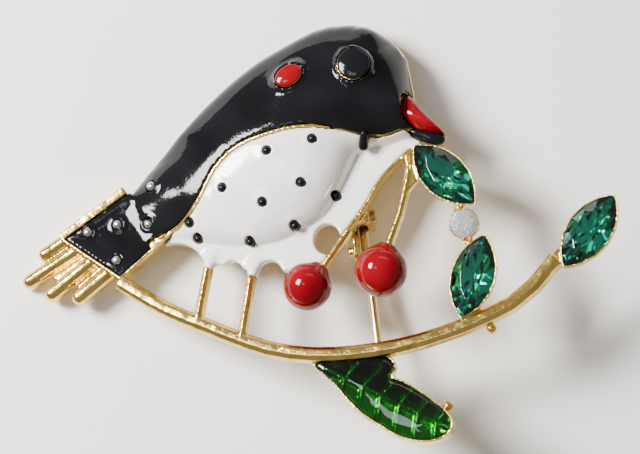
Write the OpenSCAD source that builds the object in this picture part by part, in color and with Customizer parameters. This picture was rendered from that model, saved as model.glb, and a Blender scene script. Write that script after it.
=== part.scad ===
// Brooch of a bird on a flowering branch.
// A cast gold-toned frame holds cells of coloured enamel, four cut stones and two berries,
// and carries a hinged pin and its catch behind. It lies as it rests on a table.
// The brooch is laid out in its own plane, front up and back face at height 0, starting from
// the end of the tail panel, and lie_down() then tips every piece to its rest.

/* [Bird] */
// Length of the bird from the end of its tail panel to its crown
body_l = 39; // [36:0.5:42]
// Width that the across shares of the bird follow
body_w = 20; // [18:0.5:22]
// Height of the bird's back above the back face
crown_h = 5.6; // [4.5:0.1:6.5]
// Angle of the bird's axis above the branch side
body_turn = 35.2; // [30:0.5:40]
// Height of the enamel along the foot of the belly
flange_h = 1.52; // [1.3:0.02:2]
// Height at which the black enamel ends along the back
back_h = 0.41; // [0.3:0.01:0.8]
// Thickness of the enamel
enamel_t = 0.51; // [0.35:0.01:0.6]
// Thickness of the cast wall under the enamel
shell_t = 1.01; // [0.7:0.01:1.3]
// Width of the bare metal line between black and white
line_w = 0.3; // [0.2:0.05:0.45]
// Width of the bare metal rim along the throat
rim_w = 0.41; // [0.3:0.01:0.6]
// Space between neighbouring pieces
gap = 0.03; // [0.02:0.01:0.06]

/* [Tail] */
// Length of the tail panel
panel_l = 9; // [8:0.5:10]
// Width of the tail panel's black cell
panel_w = 6.6; // [6:0.2:7.4]
// Height of the tail panel's rim
panel_h = 2; // [1.7:0.1:2.3]
// Width of the bright band along the panel's back edge
band_w = 0.8; // [0.5:0.1:1.1]
// Length of the longest tail feather
feather_l = 6.6; // [5.4:0.1:7.6]
// Width of a tail feather
feather_w = 1.5; // [1.2:0.1:1.7]
// Height of a tail feather
feather_h = 1.7; // [1.4:0.1:2]

/* [Head] */
// Diameter of the round eye cup
eye_d = 3.3; // [2.6:0.1:3.6]
// Length of the oval spot cup
spot_l = 2.9; // [2.4:0.1:3.4]
// Width of the oval spot cup
spot_w = 2.1; // [1.7:0.1:2.5]
// Height of both cups above the enamel
cup_rise = 0.6; // [0.4:0.05:0.9]
// Wall of the small cups
cup_wall = 0.15; // [0.12:0.01:0.25]
// Length of the beak
beak_l = 5; // [4:0.2:6]
// Height of the beak
beak_h = 3.4; // [2.8:0.1:4]

/* [Dots and studs] */
// Diameter of a belly dot
dot_d = 0.9; // [0.75:0.05:1.1]
// Diameter of a tail stud
stud_d = 1.05; // [0.8:0.05:1.3]
// Height of dots and studs above the enamel
dot_rise = 0.3; // [0.2:0.05:0.5]
// Depth of a dot's peg in the casting
peg_depth = 0.45; // [0.4:0.05:0.7]

/* [Branch] */
// Run of the branch from the tail to the last stone
branch_l = 44.2; // [42:0.2:46]
// Sag of the branch below its left end
branch_sag = 7.8; // [7:0.2:9]
// Width of the branch
branch_w = 1.7; // [1.3:0.1:2.1]
// Height of the branch
branch_h = 2.28; // [1.8:0.04:2.8]
// Width of a leg
leg_w = 1; // [0.8:0.1:1.3]
// Height of a leg
leg_h = 2.25; // [1.8:0.05:2.5]
// Width of a berry stem
stem_w = 0.9; // [0.7:0.1:1.2]
// Height of a berry stem
stem_h = 1.9; // [1.5:0.1:2.3]

/* [Berries] */
// Diameter of the berry under the belly
berry_1_d = 4.9; // [4.4:0.1:5.2]
// Diameter of the berry under the throat
berry_2_d = 5.3; // [4.8:0.1:5.8]
// Thickness of the berries' enamel
berry_t = 0.6; // [0.4:0.05:0.8]

/* [Stones] */
// Length of a pointed oval stone
stone_l = 8.5; // [7.8:0.1:9]
// Width of a pointed oval stone
stone_w = 4.2; // [3.8:0.1:4.6]
// Diameter of the round crystal
crystal_d = 2.9; // [2.6:0.1:3.1]
// Height of a stone's crown above its girdle
crown_of_stone = 0.9; // [0.6:0.1:1.2]
// Depth of a stone below its girdle
pavilion = 1.3; // [1:0.1:1.5]
// Height of the girdles above the back face
girdle_h = 2.3; // [2:0.1:2.8]
// Wall of a stone's cup
setting_t = 0.22; // [0.16:0.02:0.4]

/* [Leaf] */
// Length of the leaf
leaf_l = 15.8; // [14:0.2:17]
// Width that the leaf's across shares follow
leaf_w = 6.9; // [6:0.1:7.8]
// Height of the leaf's rim
leaf_h = 1.6; // [1.3:0.1:2]
// Width of the leaf's rim
leaf_rim = 0.3; // [0.2:0.05:0.5]
// Depth of the leaf's cell
leaf_cell = 0.8; // [0.6:0.05:1]
// Height of the ribs on the leaf's floor
rib_h = 0.25; // [0.15:0.05:0.35]

/* [Pin] */
// Length of the pin from its rivet to its tip
pin_l = 19.6; // [18:0.2:21]
// Diameter of the pin
pin_d = 0.9; // [0.7:0.05:1]
// Depth of the rivet's axis behind the back face
pin_depth = 3.2; // [2.8:0.1:3.6]
// Diameter of the rivet
rivet_d = 0.8; // [0.6:0.05:0.9]
// Radial play of the pin's eye on the rivet
rivet_play = 0.03; // [0.02:0.01:0.05]
// Radius of the hinge's ears
ear_r = 1.5; // [1.3:0.05:1.7]
// Thickness of a hinge ear
ear_t = 0.5; // [0.4:0.05:0.7]
// Width of the pin's eye
eye_w = 1; // [0.8:0.1:1.2]

/* [Hidden] */
dots = 10;
studs = 5;
stones = 3;
$fn = 32;

gold = "#d9b45b";
black = "#101216";
white = "#f2f0ea";
red = "#c3101a";
green = "#0f6b47";
leaf_green = "#0b6a1c";

// The bird's sections: share of body_l, then back edge, black and white border, foot of the
// belly's bulge and belly edge as shares of body_w, and the crown as a share of crown_h
BIRD = [
    [0.203,  0.225, -0.065, -0.080, -0.105, 0.38],
    [0.244,  0.250, -0.085, -0.120, -0.220, 0.46],
    [0.282,  0.272, -0.093, -0.200, -0.338, 0.56],
    [0.346,  0.302, -0.060, -0.320, -0.468, 0.70],
    [0.423,  0.342,  0.012, -0.425, -0.592, 0.82],
    [0.500,  0.375,  0.035, -0.470, -0.665, 0.90],
    [0.590,  0.400, -0.010, -0.475, -0.630, 0.965],
    [0.679,  0.408, -0.090, -0.395, -0.575, 1.00],
    [0.756,  0.394, -0.215, -0.310, -0.505, 1.00],
    [0.808,  0.384, -0.315, -0.350, -0.480, 1.00],
    [0.859,  0.364, -0.355, -0.385, -0.465, 0.97],
    [0.890,  0.338, -0.365, -0.395, -0.455, 0.92],
    [0.913,  0.310, -0.410, -0.425, -0.440, 0.85],
    [0.941,  0.268, -0.290, -0.292, -0.294, 0.72],
    [0.964,  0.222, -0.190, -0.192, -0.194, 0.58],
    [0.985,  0.150, -0.115, -0.117, -0.119, 0.40],
    [0.997,  0.060, -0.035, -0.037, -0.039, 0.24]
];
BACK = 1;
BORDER = 2;
FOOT = 3;
BELLY = 4;
CROWN = 5;
body_start = BIRD[0][0];
body_end = BIRD[len(BIRD) - 1][0];
white_end = 0.913;
line_end = 0.73;
// Stations along the bird, samples over the black, over the belly and over its flange
bird_steps = 19;
black_steps = 8;
belly_steps = 7;
flange_steps = 2;

// The branch: share of branch_l, and height as a share of branch_sag
BRANCH = [
    [0.00,  0.00], [0.11, -0.37], [0.19, -0.56], [0.27, -0.75], [0.35, -0.91],
    [0.43, -0.99], [0.51, -1.00], [0.59, -0.96], [0.67, -0.88], [0.75, -0.75],
    [0.83, -0.58], [0.91, -0.35], [0.955, -0.12], [1.00,  0.20]
];
branch_steps = 20;
// Where the branch leaves the tail, from the tail panel's end
branch_x = 3.4;
branch_y = -1.05;

// The leaf's outline: shares of leaf_l along it and of leaf_w across it
LEAF = [
    [0.115, -0.095], [0.2, -0.155], [0.315, -0.28], [0.44, -0.38], [0.585, -0.415],
    [0.725, -0.435], [0.86, -0.36], [0.95, -0.235], [0.997, -0.07], [0.995, 0.075],
    [0.935, 0.18], [0.84, 0.245], [0.715, 0.3], [0.6, 0.335], [0.51, 0.33],
    [0.495, 0.43], [0.485, 0.52], [0.42, 0.57], [0.32, 0.49], [0.12, 0.22], [0, 0]
];

// Belly dots: shares of body_l along the bird and of body_w across it
DOTS = [
    [0.5635, -0.081], [0.676, -0.168], [0.415, -0.093], [0.588, -0.31], [0.478, -0.275],
    [0.642, -0.432], [0.511, -0.446], [0.393, -0.373], [0.287, -0.196], [0.293, -0.118]
];
// Tail studs, in the same shares
STUDS = [[0.06, 0.174], [0.135, 0.117], [0.203, 0.024], [0.081, -0.037], [0.265, 0.167]];

// Arches and hole in the belly's flange: place of the middle and the two radii
CUTS = [
    [8.9, 0.3, 3.1, 2.7], [14.95, -0.9, 1.3, 1.95], [18.75, -1, 1.45, 2], [24.5, 3.05, 1.35, 1.6]
];
// The tail panel's cell: shares of panel_l along the bird and of panel_w across it
PANEL = [[0.97, 0.68], [0, 0.65], [0.285, -0.37], [1, -0.245]];
// Tail feathers: start along and across in the panel's shares, length share, direction
FEATHERS = [
    [0.06, 0.66, 0.58, 178], [0.05, 0.43, 1, 178], [0.12, 0.14, 0.92, 184], [0.22, -0.16, 0.74, 185]
];
// Legs: share of body_l at the top, share of the branch at the foot
LEGS = [[0.277, 0.185], [0.358, 0.288]];
// The second stem: share of its drop, and sideways as a share of stem_2_side
STEM = [
    [0, 0], [0.1, 0.12], [0.24, 0.04], [0.37, -0.12], [0.49, -0.25], [0.6, -0.46],
    [0.74, -0.72], [1, -1]
];
// The beak's outlines: shares of beak_l along it and of beak_h across it
BEAK = [
    [-0.22, 0.55], [-0.2, 0.12], [0.02, -0.09], [0.42, -0.1], [0.86, 0.19], [0.9, 0.265],
    [0.67, 0.38], [0.3, 0.5], [-0.05, 0.63]
];
UNDER_BEAK = [
    [0.22, -0.3], [0.54, -0.31], [0.9, -0.16], [0.99, 0.07], [0.86, 0.2], [0.42, -0.05],
    [0.2, -0.12]
];

// Ends of the drop of black: shares along and across the bird, and height
DROP = [[0.79, -0.285, 3.3], [0.776, -0.312, 2.4]];

// Small sizes that several pieces share
thin = 0.02;
line_rise = 0.03;
rim_rise = 0.081;
throat_start = 0.6;
throat_end = 0.869;
wrap_t = 0.28;
panel_gap = 0.1;
web_h = 0.69;
leg_in = 1.23;
leg_foot = 0.35;
leg_inner_h = 0.89;
drip_l = 0.72;
stem_1_l = 3.9;
stem_1_turn = -123.6;
stem_2_at = 0.849;
stem_2_drop = 12.05;
stem_2_side = 2.2;
stem_2_neck = 78.5;
neck_r = 0.75;
neck_l = 0.5;
stem_way = 0.62;
girdle_t = 0.2;
stone_2_foot = 0.8;
stone_2_turn = 75.2;
crystal_turn = 100;
cluster_turn = 112;
stone_1_turn = -44.6;
stone_3_turn = 54.7;
tuck = 0.2;
leaf_at = 0.45;
leaf_turn = -25.7;
leaf_rise = 0.45;
rib_pairs = 6;
beak_edge = 1.7;
beak_rise = 1.5;
beak_t = 0.45;
under_base = 0.8;
beak_play = 0.06;
pin_share = 0.665;
pin_turn = -82;
ear_play = 0.08;
sunk_in = 0.3;
tongue_l = 3.9;
catch_from_tip = 1.4;
catch_l = 1.6;
catch_w = 2.4;
catch_reach = 0.75;
catch_play = 0.08;
tip_l = catch_from_tip + catch_l / 2 + 0.2;
// Length of the pin's tapered neck, past the hinge's finger
pin_neck = tongue_l + 0.9;
nub_r = 0.6;
drop_r = 0.37;
peg_sides = 8;
wrap_low = 0.12;
// Height at which legs and stems start, just above the back face
low_base = 0.06;

// Curves and frames

function mix(a, b, t) = a + (b - a) * t;
function unit(v) = v / norm(v);
function dir(a) = [cos(a), sin(a)];
function left(v) = [-v[1], v[0]];
function row_at(t, x) = max([0, for (i = [0:len(t) - 2]) if (t[i][0] <= x) i]);
function slope(t, i, c) =
    let (a = max(i - 1, 0), b = min(i + 1, len(t) - 1))
    (t[b][c] - t[a][c]) / (t[b][0] - t[a][0]);
// Value of column c of a table at x, on a smooth curve through its rows
function curve(t, x, c) =
    let (i = row_at(t, x), h = t[i + 1][0] - t[i][0], u = (x - t[i][0]) / h)
    t[i][c] * (1 + 2 * u) * (1 - u) * (1 - u) + t[i + 1][c] * u * u * (3 - 2 * u)
    + h * slope(t, i, c) * u * (1 - u) * (1 - u) - h * slope(t, i + 1, c) * u * u * (1 - u);

// A closed solid through rings that all have as many points; from point flip on, its
// surfaces are divided along their other diagonals, as the surface they face is
module skin(rings, flip = 1000) {
    n = len(rings[0]);
    m = len(rings);
    polyhedron(
        points = [for (r = rings) for (p = r) p],
        faces = concat(
            [[for (i = [0:n - 1]) i]],
            [for (j = [0:m - 2]) for (i = [0:n - 1])
                let (a = j * n + i, b = a + n, c = j * n + (i + 1) % n, d = c + n)
                each i < flip ? [[a, b, c], [c, b, d]] : [[a, b, d], [a, d, c]]],
            [[for (i = [n - 1:-1:0]) (m - 1) * n + i]]
        ),
        convexity = 6
    );
}

// A flat-bottomed pillow over an outline, whose top rises from edge_z by rise
module pillow(outline, middle, base_z, edge_z, rise) {
    shares = [1, 0.92, 0.75, 0.5, 0.2];
    skin(concat(
        [[for (p = outline) [p[0], p[1], base_z]]],
        [for (f = shares) [for (p = outline)
            [mix(middle[0], p[0], f), mix(middle[1], p[1], f), edge_z + rise * sqrt(1 - f * f)]]]
    ));
}

// A rounded bar along a path of [x, y], w wide and h high, standing on base_z
module bar(path, w, h, base_z, sides = 10) {
    last = len(path) - 1;
    skin([for (j = [0:last])
        let (
            t = unit(path[min(j + 1, last)] - path[max(j - 1, 0)]),
            n = left(t)
        )
        [for (i = [0:sides - 1])
            let (a = 360 * i / sides, q = pow(abs(cos(a)), 0.8) * sign(cos(a)) * w / 2)
            [
                path[j][0] + n[0] * q,
                path[j][1] + n[1] * q,
                base_z + h / 2 + pow(abs(sin(a)), 0.8) * sign(sin(a)) * h / 2
            ]
        ]
    ]);
}

// Places on the bird, in the brooch's plane

function on_bird(x, y) = x * dir(body_turn) + y * left(dir(body_turn));
function bird_y(share, column) = body_w * curve(BIRD, share, column);
function bird_edge(share, column) = on_bird(body_l * share, bird_y(share, column));
module at_bird() rotate(body_turn) children();

// Height of the enamel's surface at a share of body_l and a distance across the bird
function foot_h(share) =
    let (flange = bird_y(share, FOOT) - bird_y(share, BELLY))
    mix(back_h, flange_h, min(1, flange / (0.04 * body_w)));
function dome(u) = pow(1 - pow(min(1, abs(2 * u - 1)), 2.4), 0.6);
function bird_z(share, y) =
    let (
        foot = bird_y(share, FOOT),
        u = (y - foot) / (bird_y(share, BACK) - foot),
        low = mix(foot_h(share), back_h, u)
    )
    u <= 0 ? foot_h(share) : low + (crown_h * curve(BIRD, share, CROWN) - low) * dome(u);
function dot_place(d) = [body_l * d[0], body_w * d[1]];

// Points [y, z] over the black cell and over the white cell of one section, back to belly
function turn_of(u) = acos(1 - 2 * u);
function border_turn(share) =
    let (foot = bird_y(share, FOOT))
    turn_of((bird_y(share, BORDER) - foot) / (bird_y(share, BACK) - foot));
function dome_points(share, from, to, steps) =
    [for (k = [0:steps])
        let (
            u = (1 - cos(mix(from, to, k / steps))) / 2,
            y = mix(bird_y(share, FOOT), bird_y(share, BACK), u)
        )
        [y, bird_z(share, y)]];
function black_points(share) = dome_points(share, 180, border_turn(share), black_steps);
function white_points(share) = concat(
    dome_points(share, border_turn(share), 0, belly_steps),
    [for (k = [1:flange_steps])
        [mix(bird_y(share, FOOT), bird_y(share, BELLY), k / flange_steps), foot_h(share)]]);
function all_points(share) = let (white = white_points(share))
    concat(black_points(share), [for (k = [1:len(white) - 1]) white[k]]);

// The same points moved in by a distance, square to the surface
function sunk(points, d) =
    [for (i = [0:len(points) - 1])
        let (t = unit(points[min(i + 1, len(points) - 1)] - points[max(i - 1, 0)]))
        points[i] - d * [t[1], -t[0]]];
function in_section(share, points) = [for (p = points) [body_l * share, p[0], p[1]]];
function reversed(list) = [for (i = [len(list) - 1:-1:0]) list[i]];
function stations(from, to, steps) = [for (k = [0:steps]) mix(from, to, k / steps)];
even_sections = stations(body_start, body_end, bird_steps);
white_sections = concat([for (s = even_sections) if (s < white_end - 0.01) s], [white_end]);
sections = concat(white_sections, [for (s = even_sections) if (s > white_end + 0.01) s]);

// Layer of black enamel, over the back
module black_strip() {
    at_bird() skin([for (s = sections)
        let (top = black_points(s), low = sunk(top, enamel_t - gap))
        in_section(s, concat(top, reversed(low)))], black_steps + 1);
}

// Layer of white enamel, over the belly and out over its flange
module white_strip() {
    at_bird() skin([for (s = white_sections)
        let (top = white_points(s), low = sunk(top, enamel_t - gap))
        in_section(s, concat(top, reversed(low)))], belly_steps + flange_steps + 1);
}

// The casting under both layers; past the white's end it slopes down from the black's edge
function cast_points(share) =
    share <= white_end ? [for (p = sunk(all_points(share), enamel_t)) [p[0], max(p[1], 0.06)]]
    : let (
        top = sunk(black_points(share), enamel_t),
        last = top[black_steps],
        n = belly_steps + flange_steps
    )
    concat(top, [for (k = [1:n]) mix(last, [bird_y(share, BELLY) + 0.1, 0.06], k / n)]);
module cast_body() {
    at_bird() skin([for (s = sections)
        let (
            top = cast_points(s),
            back = bird_y(s, BACK),
            belly = bird_y(s, BELLY)
        )
        in_section(s, concat([[back, 0], [back, back_h - gap]], top, [[belly, 0]]))]);
}

// The hollow behind the dome, between two shares of the body's length
hollow_start = 0.24;
hollow_end = 0.94;
hollow_steps = 10;
module body_hollow() {
    wall = enamel_t + shell_t;
    at_bird() skin([for (s = stations(hollow_start, hollow_end, hollow_steps))
        let (
            back = bird_y(s, BACK) - wall,
            foot = bird_y(s, FOOT) + wall,
            high = crown_h * curve(BIRD, s, CROWN) - wall
        )
        in_section(s, concat(
            [[back, -1]],
            [for (k = [0:6])
                let (u = (1 + cos(180 * k / 6)) / 2)
                [mix(foot, back, u), high * dome(u)]],
            [[foot, -1]]
        ))]);
}

// A thin wall that follows one column of the bird's table
module wall_along(column, from, to, w, drop, rise, offset = 0, steps = 17) {
    at_bird() skin([for (s = stations(from, to, steps))
        let (y = bird_y(s, column) + offset, z = bird_z(s, bird_y(s, column)))
        in_section(s, [[y - w / 2, z - drop], [y + w / 2, z - drop],
            [y + w / 2, z + rise], [y - w / 2, z + rise]])]);
}

// The bare metal line between black and white
module border_line(extra = 0) {
    wall_along(BORDER, body_start, line_end, line_w + 2 * extra, enamel_t + 0.4,
        line_rise + extra);
}

// The bare metal rim along the throat
module throat_rim(extra = 0, out = 0) {
    wall_along(BELLY, throat_start, throat_end, rim_w + 2 * extra + out, flange_h,
        rim_rise + extra, (rim_w - out) / 2, 10);
}

// Drop of black enamel that has run down over the white before the throat
module black_drop(extra = 0) {
    at_bird() hull() {
        for (p = DROP) translate([body_l * p[0], body_w * p[1], p[2]])
            sphere(drop_r + extra, $fn = 12);
    }
}

// A round post from one height to another
module post(r, from, to, sides = 24) {
    hull() {
        for (z = [from, to - thin]) translate([0, 0, z]) cylinder(r = r, h = thin, $fn = sides);
    }
}

// Arches between the legs and the hole before the throat, cut through the belly's flange
module belly_cuts(grow = 0) {
    for (c = CUTS) {
        translate([c[0], c[1], -1]) scale([c[2] + grow, c[3] + grow, 1])
            cylinder(r = 1, h = 9, $fn = 18);
    }
}

// Everything on one side of the border, with the room that the bare line and a gap take
module side_of_border(side) {
    ends = concat(stations(body_start - 0.03, line_end, 18),
        stations(line_end + 0.004, white_end + 0.008, 7));
    at_bird() skin([for (s = ends)
        let (
            d = gap / 2 + (s > line_end ? 0 : line_w / 2 + gap / 2),
            near = bird_y(max(s, body_start), BORDER) - side * d,
            far = near + side * body_w,
            left_y = min(near, far),
            right_y = max(near, far)
        )
        in_section(s, [[left_y, -1], [right_y, -1], [right_y, 9], [left_y, 9]])]);
}

// Flat area of the casting, and the strip along its belly edge that the white wraps
module bird_area() {
    edge = sections;
    difference() {
        polygon(concat([for (s = edge) bird_edge(s, BELLY)],
            [for (s = reversed(edge)) bird_edge(s, BACK)]));
        for (c = CUTS) translate([c[0], c[1]]) scale([c[2], c[3]]) circle(1, $fn = 18);
    }
}
module wrap_area(d, out) {
    edge = stations(body_start - 0.03, white_end - 0.004, bird_steps);
    intersection() {
        difference() {
            offset(delta = out) bird_area();
            offset(delta = -d) bird_area();
        }
        polygon(concat(
            [for (s = edge) on_bird(body_l * s, bird_y(max(s, body_start), FOOT) - body_w)],
            [for (s = reversed(edge)) on_bird(body_l * s, bird_y(max(s, body_start), FOOT))]
        ));
    }
}
module wrap(d, from, to, out = 0) {
    translate([0, 0, from]) linear_extrude(to - from) wrap_area(d, out);
}

// The tail panel's cell, and the same cell grown into the rim
module panel_cell() polygon([for (p = PANEL) [panel_l * p[0], panel_w * p[1]]]);
module panel_outline() {
    difference() {
        union() {
            offset(r = line_w) panel_cell();
            translate([0, band_w - line_w]) offset(r = line_w) panel_cell();
        }
        after(body_l * body_start - gap, -0.075 * body_w);
    }
}
// The area beyond a place, where the panel's black runs on into the body's without a rim
module after(x, y) translate([x, y]) square(30);
module panel_black(grow) {
    difference() {
        offset(delta = grow) panel_cell();
        after(body_l * body_start + 0.3 + grow, -body_w);
    }
}
panel_floor = panel_h - panel_gap - enamel_t;
function feather_base(f) = [panel_l * f[0], panel_w * f[1]];
function feather_tip(f) = feather_base(f) + (feather_l * f[2] - feather_w / 2) * dir(f[3]);

// A rounded feather, and the whole tail with the web that joins the feathers
module feather(f) {
    r = feather_w / 2;
    hull() {
        for (p = [feather_base(f), feather_tip(f)]) {
            translate(p) cylinder(r = r, h = feather_h - r, $fn = 14);
            translate([p[0], p[1], feather_h - r]) sphere(r, $fn = 14);
        }
    }
}

module tail() at_bird() difference() {
    union() {
        linear_extrude(panel_h) panel_outline();
        for (f = FEATHERS) feather(f);
        linear_extrude(web_h) polygon([for (f = FEATHERS) each [feather_base(f)],
            for (f = reversed(FEATHERS)) mix(feather_base(f), feather_tip(f), 0.7)]);
    }
    translate([0, 0, panel_floor]) linear_extrude(panel_h) panel_cell();
}

// The raised cups of the eye and the spot: place across the bird, half sizes and top
eye_place = [body_l * 0.871, body_w * 0.018];
spot_place = [body_l * 0.72, body_w * 0.165];
eye_top = bird_z(0.871, eye_place[1]) + cup_rise;
spot_top = bird_z(0.72, spot_place[1]) + cup_rise;
// A cup's metal post
module cup(place, l, w, top) {
    at_bird() translate([place[0], place[1], 0]) scale([l / w, 1, 1])
        post(w / 2, top - cup_rise - 2 * enamel_t, top);
}
// Room in the enamel for a cup
module cup_room(place, l, w) {
    at_bird() translate([place[0], place[1], 0]) scale([l / w, 1, 1])
        cylinder(r = w / 2 + gap, h = 12, $fn = 24);
}
module collar(place, l, w, top) {
    at_bird() translate([place[0], place[1], top - cup_rise - enamel_t / 2])
        scale([l / w, 1, 1])
        cylinder(r1 = w / 2 + cup_rise, r2 = w / 2 + cup_wall, h = cup_rise + enamel_t / 4);
}
module in_cup(place, l, w, top) {
    at_bird() translate([place[0], place[1], 0]) scale([l / w, 1, 1])
        post(w / 2 - cup_wall, top - cup_rise, top + 1);
}

// Belly dots and tail studs: domed pegs, and the holes that they stand in
function stud_surface(d) =
    max(panel_h - panel_gap, d[0] > body_start ? bird_z(d[0], body_w * d[1]) : 0);
module peg(place, r, surface) {
    top = surface + dot_rise;
    translate([place[0], place[1], 0]) rotate_extrude() polygon([
        [0, surface - enamel_t - peg_depth], [r, surface - enamel_t - peg_depth],
        [r, top - 0.5 * r], [0.85 * r, top - 0.25 * r], [0.5 * r, top - 0.06 * r], [0, top]
    ]);
}
module peg_hole(place, r, surface) {
    translate([place[0], place[1], 0])
        post((r + gap) / cos(180 / peg_sides), surface - enamel_t - peg_depth - gap,
            surface + 2, peg_sides);
}
module belly_holes() at_bird() {
    for (d = DOTS) peg_hole(dot_place(d), dot_d / 2, bird_z(d[0], body_w * d[1]));
}
module stud_holes() at_bird() {
    for (d = STUDS) peg_hole(dot_place(d), stud_d / 2, stud_surface(d));
}

// Branch, legs and stems

function branch_at(share) =
    [branch_x + branch_l * share, branch_y + branch_sag * curve(BRANCH, share, 1)];
module branch() bar([for (k = [0:branch_steps]) branch_at(k / branch_steps)],
    branch_w, branch_h, 0);
function leg_top(leg) = bird_edge(leg[0], BELLY);
function leg_up(leg) = unit(leg_top(leg) - branch_at(leg[1]));
module legs(grow = 0) {
    for (leg = LEGS) {
        top = leg_top(leg);
        up = leg_up(leg);
        bar([top - drip_l * up, branch_at(leg[1]) + leg_foot * up],
            leg_w + 2 * grow, leg_h + 2 * grow, low_base - grow, 8);
        bar([top + leg_in * up, top - (drip_l + 0.2) * up],
            0.6 * leg_w + 2 * grow, leg_inner_h + grow, 1.5 * low_base, 8);
    }
}

// White enamel that runs down over the top of a leg
module drips(grow = 0) {
    for (leg = LEGS) {
        top = leg_top(leg);
        up = leg_up(leg);
        low = top - 0.5 * drip_l * up;
        high = top + 1.1 * up;
        hull() {
            for (z = [1.42, 0.75]) translate([low[0], low[1], z]) sphere(0.6 + grow, $fn = 12);
            translate([high[0], high[1], flange_h - 0.5 - grow])
                cylinder(r = 0.75 + grow, h = 0.48 + grow, $fn = 10);
        }
    }
}

// Stems from the bird's edge to the berries
stem_1_start = bird_edge(throat_start, BELLY);
berry_1_at = stem_1_start + (stem_1_l + berry_1_d / 2) * dir(stem_1_turn);
stem_2_start = bird_edge(stem_2_at, BELLY);
berry_2_at = stem_2_start + [-stem_2_side, -stem_2_drop];
function stem_2_point(share) = stem_2_start
    + [stem_2_side * curve(STEM, share, 1), -stem_2_drop * share];
berry_1_z = berry_1_d / 2 - 0.25;
berry_2_z = berry_2_d / 2 - 0.25;
module stem_1(grow = 0) bar([stem_1_start - 0.8 * dir(stem_1_turn), berry_1_at],
    stem_w + 2 * grow, stem_h + 2 * grow, low_base - grow, 8);
module stem_2()
    bar([for (k = [0:10]) stem_2_point(k / 10)], stem_w, stem_h, low_base, 8);
module at_place(place, z) translate([place[0], place[1], z]) children();
module berry_core(place, z, d) at_place(place, z) sphere(d / 2 - berry_t, $fn = 14);
module berry_neck(d, turn, grow = 0) {
    rotate([0, 0, turn]) rotate([0, 90, 0]) translate([0, 0, 0.3 * d])
        cylinder(r1 = 0.3 * d + grow, r2 = neck_r + grow, h = 0.2 * d + neck_l + grow);
}
module berry_room() at_place(berry_1_at, berry_1_z) {
    sphere(berry_1_d / 2 + 3 * gap, $fn = 18);
    berry_neck(berry_1_d, stem_1_turn + 180, 3 * gap, $fn = 18);
}

// A berry's enamel: a ball and its neck, open where the stem enters the core
module berry(place, z, d, turn) {
    at_place(place, z) difference() {
        union() {
            sphere(d / 2);
            berry_neck(d, turn);
        }
        sphere(d / 2 - berry_t + gap);
        rotate([0, 0, turn]) rotate([0, 90, 0]) cylinder(r = stem_way, h = d);
        rotate([0, 0, turn]) translate([-0.15, -stem_w / 2 - 2 * gap, -z - 1])
            cube([d, stem_w + 4 * gap, z + 1]);
    }
}

// Stones

// The outline of a pointed oval, or of a circle where length and width agree
function oval(l, w, a) =
    let (r = (l * l + w * w) / (4 * w), x = l / 2 * cos(a))
    l == w ? l / 2 * dir(a) : [x, sign(sin(a)) * (sqrt(r * r - x * x) - r + w / 2)];

// A cut stone: table, two rows of crown facets, girdle, two rows below and a point
module stone(l, w, up, down) {
    girdle = [for (k = [0:15]) oval(l, w, 22.5 * k)];
    function ring(share, z, turn) =
        [for (k = [0:7]) let (p = oval(l, w, 45 * k + turn) * share) [p[0], p[1], z]];
    points = concat(
        ring(0.58, up, 0),
        ring(0.8, 0.6 * up, 22.5),
        [for (p = girdle) [p[0], p[1], girdle_t]],
        [for (p = girdle) [p[0], p[1], 0]],
        ring(0.34, -0.72 * down, 22.5),
        [[0, 0, -down]]
    );
    polyhedron(
        points = points,
        faces = concat(
            [[for (k = [7:-1:0]) k]],
            [for (k = [0:7]) let (n = (k + 1) % 8) each [
                [k, n, 8 + k],
                [n, 16 + 2 * n, 8 + k], [k, 8 + k, 16 + 2 * k],
                [8 + k, 17 + 2 * k, 16 + 2 * k], [8 + k, 16 + 2 * n, 17 + 2 * k],
                [48 + k, 32 + 2 * k, 33 + 2 * k], [48 + k, 33 + 2 * k, 32 + 2 * n],
                [56, 32 + 2 * k, 48 + k], [56, 48 + k, 32 + 2 * n]
            ]],
            [for (k = [0:15]) let (n = (k + 1) % 16) each [
                [16 + k, 16 + n, 32 + n], [16 + k, 32 + n, 32 + k]
            ]]
        )
    );
}

// A stone's cup, and the room that the stone takes in it
module setting(l, w, t) {
    function ring(l, w, z) =
        [for (k = [0:15]) let (p = oval(l, w, 22.5 * k)) [p[0], p[1], z]];
    wall = 2 * t;
    skin([
        ring(0.8 * l, 0.8 * w, -girdle_h + 0.37),
        ring(l + wall, w + wall, -0.6),
        ring(l + wall, w + wall, girdle_t + 0.06)
    ]);
}
module stone_room(l, w) {
    function ring(share, z) =
        [for (k = [0:15]) let (p = share * oval(l + 2 * gap, w + 2 * gap, 22.5 * k))
            [p[0], p[1], z]];
    skin([
        ring(0.15, -pavilion - 2 * gap), ring(0.55, -0.72 * pavilion - 2 * gap),
        ring(1, -gap), ring(1, 3)
    ]);
}

// Places of the stones: the second stands on the branch, the crystal and the first follow
stone_2_at = branch_at(stone_2_foot) + (stone_l / 2 + 0.5) * dir(stone_2_turn)
    + 0.5 * left(dir(stone_2_turn));
cluster_step = (stone_l + crystal_d) / 2 - tuck;
crystal_at = stone_2_at + cluster_step * dir(crystal_turn);
stone_1_at = crystal_at + cluster_step * dir(cluster_turn);
stone_3_at = branch_at(1) + (stone_l / 2 - 0.26) * dir(stone_3_turn)
    - 0.32 * stone_w * left(dir(stone_3_turn));
STONES = [[stone_1_at, stone_1_turn], [stone_2_at, stone_2_turn], [stone_3_at, stone_3_turn]];
module at_stone(i) {
    translate([STONES[i][0][0], STONES[i][0][1], girdle_h]) rotate(STONES[i][1]) children();
}
module at_crystal() translate([crystal_at[0], crystal_at[1], girdle_h]) children();

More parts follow.
